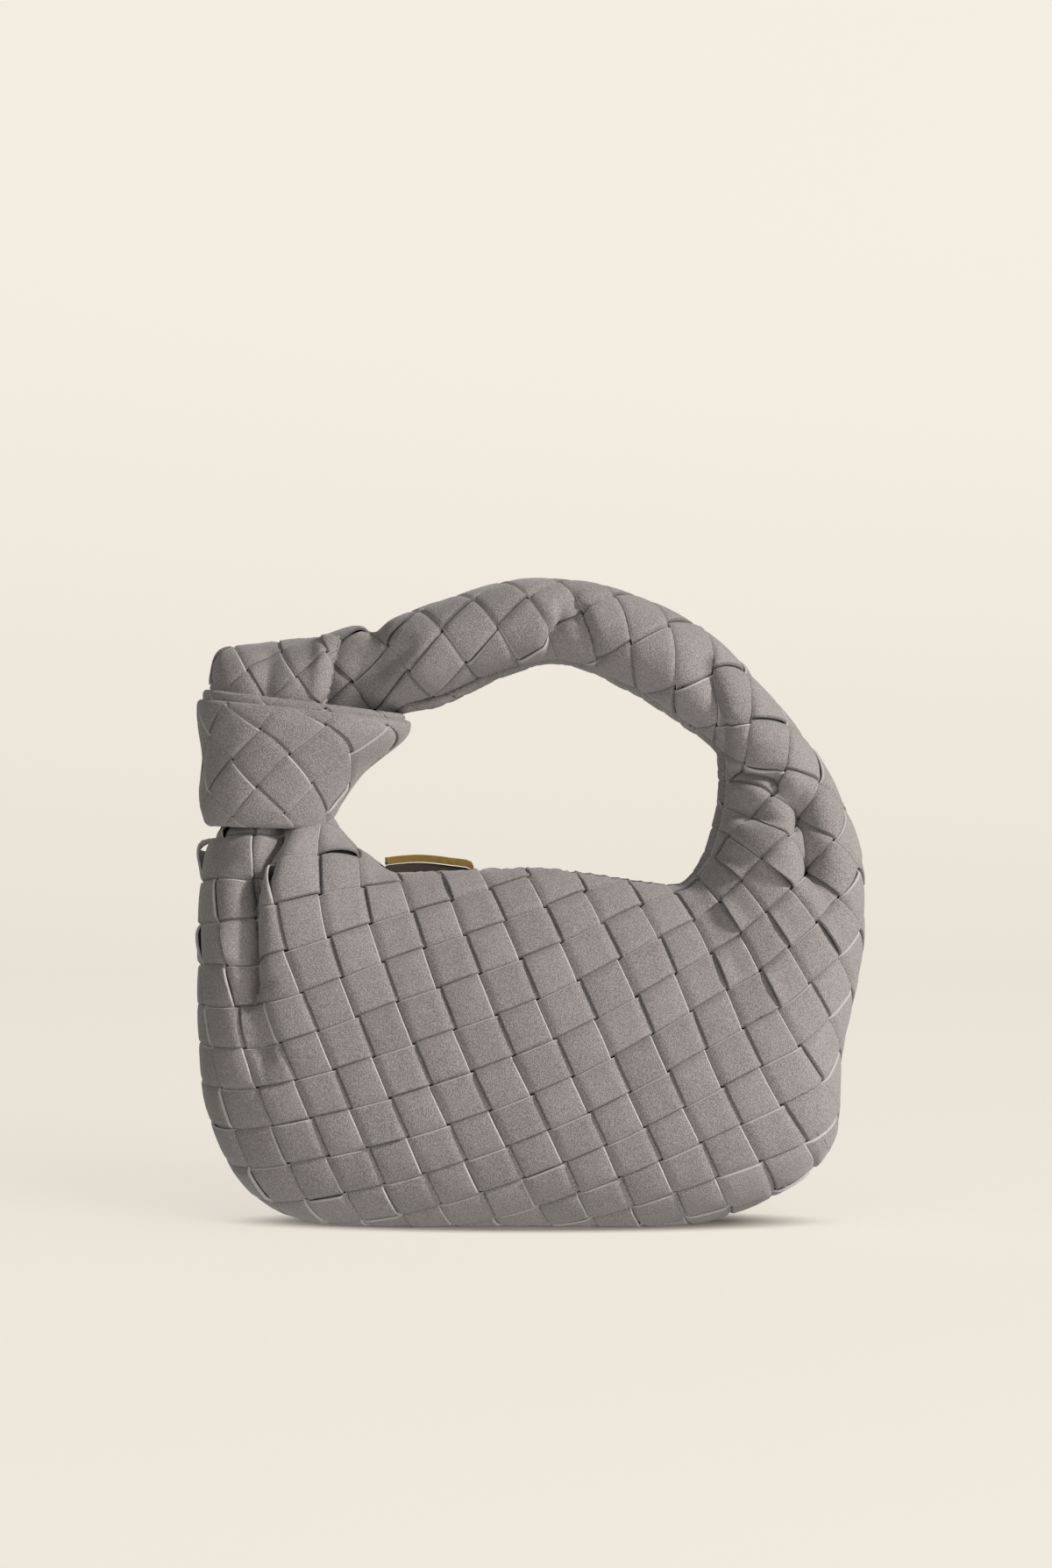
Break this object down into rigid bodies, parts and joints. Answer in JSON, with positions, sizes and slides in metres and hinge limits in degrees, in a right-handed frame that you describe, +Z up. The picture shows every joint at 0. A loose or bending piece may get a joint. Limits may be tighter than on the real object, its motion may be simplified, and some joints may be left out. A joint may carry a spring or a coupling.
{
  "type": "knot bag",
  "caption": "Small hobo bag of plaited suede strips, with a rounded pouch, an open zip mouth and an arched handle tied in a knot round the neck at one side.",
  "frame": {"origin": "on the surface the bag stands on, under the middle of its outline", "axes": "+Z up, +X to the right as seen from the front, so the knot is on the -X side, and the front faces -Y"},
  "size_m": [0.2383, 0.0758, 0.2288],
  "materials": {
    "suede": "napped, matte",
    "zip_tape": "woven, matte",
    "brass": "polished"
  },
  "bodies": {
    "root": {"pouch": "suede", "handle": "suede", "knot_band": "suede", "knot_loop": "suede", "zip_tape_front": "zip_tape", "zip_tape_back": "zip_tape", "zip_teeth_front": "brass", "zip_teeth_back": "brass", "zip_slider": "brass"}
  },
  "joints": []
}
